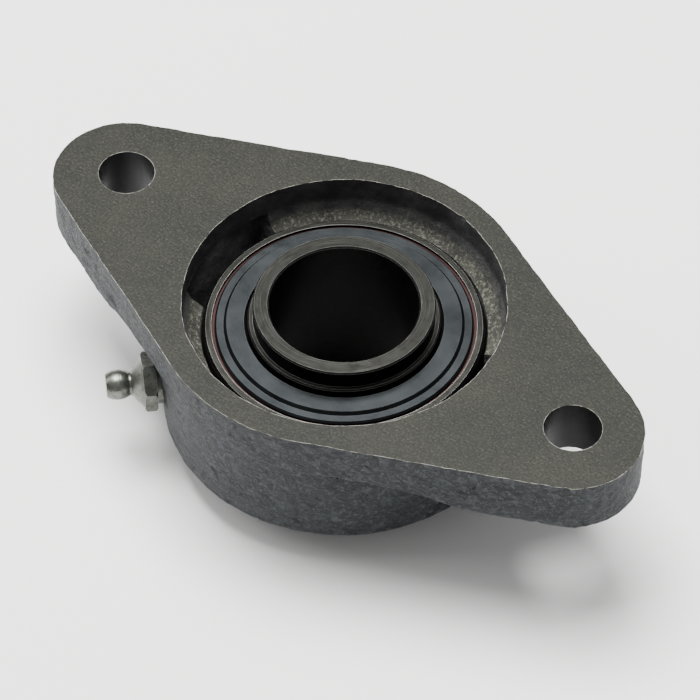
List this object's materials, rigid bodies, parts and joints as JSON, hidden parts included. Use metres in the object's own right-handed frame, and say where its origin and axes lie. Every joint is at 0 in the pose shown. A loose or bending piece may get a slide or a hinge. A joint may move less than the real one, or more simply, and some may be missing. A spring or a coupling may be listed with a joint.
{
  "type": "flange mount bearing",
  "caption": "Flange mount bearing: cast rhombic housing with bolt holes, a self-aligning sealed ball bearing insert with a wide inner ring, and a grease fitting.",
  "frame": {"origin": "on the mounting face, midway between the two bolt holes", "axes": "+X along the two bolt holes, +Z out of the mounting face along the shaft axis, with the housing body below Z = 0; the grease fitting points to 225 degrees from +X"},
  "size_m": [0.148, 0.0794, 0.0402],
  "materials": {
    "cast_iron": "rough sand-cast, mounting face ground",
    "ring_steel": "ground bearing steel",
    "shroud_steel": "satin pressed steel",
    "backing_steel": "satin pressed steel",
    "seal_rubber": "matt",
    "ball_steel": "polished",
    "cage_steel": "pressed sheet",
    "zinc_steel": "yellowish zinc plate, turned",
    "spring_steel": "drawn wire",
    "screw_steel": "black oxide"
  },
  "bodies": {
    "housing": {"housing": "cast_iron", "grease_fitting_body": "zinc_steel", "grease_fitting_spring": "spring_steel"},
    "grease_check_ball": {"grease_fitting_ball": "ball_steel"},
    "outer_ring": {"outer_ring": "ring_steel", "nose_seal_shroud": "shroud_steel", "nose_seal_rubber": "seal_rubber", "nose_seal_backing": "backing_steel", "collar_seal_shroud": "shroud_steel", "collar_seal_rubber": "seal_rubber", "collar_seal_backing": "backing_steel"},
    "inner_ring": {"inner_ring": "ring_steel"},
    "set_screw_1": {"set_screw_1": "screw_steel"},
    "set_screw_2": {"set_screw_2": "screw_steel"},
    "cage": {"cage_nose_half": "cage_steel", "cage_collar_half": "cage_steel", "cage_rivets": "cage_steel"},
    "ball_1": {"ball_1": "ball_steel"},
    "ball_2": {"ball_2": "ball_steel"},
    "ball_3": {"ball_3": "ball_steel"},
    "ball_4": {"ball_4": "ball_steel"},
    "ball_5": {"ball_5": "ball_steel"},
    "ball_6": {"ball_6": "ball_steel"},
    "ball_7": {"ball_7": "ball_steel"},
    "ball_8": {"ball_8": "ball_steel"},
    "ball_9": {"ball_9": "ball_steel"}
  },
  "joints": [
    {"name": "insert_tilt", "type": "hinge", "parent": "housing", "child": "outer_ring", "pos_m": [0, 0, -0.018], "axis": [1, 0, 0], "range_deg": [-2, 2]},
    {"name": "inner_ring_spin", "type": "hinge", "parent": "outer_ring", "child": "inner_ring", "pos_m": [0, 0, -0.018], "axis": [0, 0, 1], "continuous": true},
    {"name": "cage_spin", "type": "hinge", "parent": "outer_ring", "child": "cage", "pos_m": [0, 0, -0.018], "axis": [0, 0, 1], "continuous": true},
    {"name": "ball_1_spin", "type": "hinge", "parent": "cage", "child": "ball_1", "pos_m": [0.023, 0, -0.018], "axis": [0, 0, 1], "continuous": true},
    {"name": "ball_2_spin", "type": "hinge", "parent": "cage", "child": "ball_2", "pos_m": [0.01762, 0.01478, -0.018], "axis": [0, 0, 1], "continuous": true},
    {"name": "ball_3_spin", "type": "hinge", "parent": "cage", "child": "ball_3", "pos_m": [0.00399, 0.02265, -0.018], "axis": [0, 0, 1], "continuous": true},
    {"name": "ball_4_spin", "type": "hinge", "parent": "cage", "child": "ball_4", "pos_m": [-0.0115, 0.01992, -0.018], "axis": [0, 0, 1], "continuous": true},
    {"name": "ball_5_spin", "type": "hinge", "parent": "cage", "child": "ball_5", "pos_m": [-0.02161, 0.00787, -0.018], "axis": [0, 0, 1], "continuous": true},
    {"name": "ball_6_spin", "type": "hinge", "parent": "cage", "child": "ball_6", "pos_m": [-0.02161, -0.00787, -0.018], "axis": [0, 0, 1], "continuous": true},
    {"name": "ball_7_spin", "type": "hinge", "parent": "cage", "child": "ball_7", "pos_m": [-0.0115, -0.01992, -0.018], "axis": [0, 0, 1], "continuous": true},
    {"name": "ball_8_spin", "type": "hinge", "parent": "cage", "child": "ball_8", "pos_m": [0.00399, -0.02265, -0.018], "axis": [0, 0, 1], "continuous": true},
    {"name": "ball_9_spin", "type": "hinge", "parent": "cage", "child": "ball_9", "pos_m": [0.01762, -0.01478, -0.018], "axis": [0, 0, 1], "continuous": true},
    {"name": "set_screw_1_travel", "type": "slide", "parent": "inner_ring", "child": "set_screw_1", "axis": [-0.866, -0.5, 0], "range_m": [-0.002, 0.0008]},
    {"name": "set_screw_2_travel", "type": "slide", "parent": "inner_ring", "child": "set_screw_2", "axis": [0, 1, 0], "range_m": [-0.002, 0.0008]},
    {"name": "grease_ball_press", "type": "slide", "parent": "housing", "child": "grease_check_ball", "axis": [0.7071, 0.7071, 0], "range_m": [0, 0.001], "stiffness_N_per_m": 400, "springref_m": -0.002, "deforming": ["grease_fitting_spring"]}
  ],
  "couplings": [
    {"joint": "cage_spin", "follows": "inner_ring_spin", "ratio": 0.39647},
    {"joint": "ball_1_spin", "follows": "inner_ring_spin", "ratio": -2.3112},
    {"joint": "ball_2_spin", "follows": "inner_ring_spin", "ratio": -2.3112},
    {"joint": "ball_3_spin", "follows": "inner_ring_spin", "ratio": -2.3112},
    {"joint": "ball_4_spin", "follows": "inner_ring_spin", "ratio": -2.3112},
    {"joint": "ball_5_spin", "follows": "inner_ring_spin", "ratio": -2.3112},
    {"joint": "ball_6_spin", "follows": "inner_ring_spin", "ratio": -2.3112},
    {"joint": "ball_7_spin", "follows": "inner_ring_spin", "ratio": -2.3112},
    {"joint": "ball_8_spin", "follows": "inner_ring_spin", "ratio": -2.3112},
    {"joint": "ball_9_spin", "follows": "inner_ring_spin", "ratio": -2.3112}
  ]
}
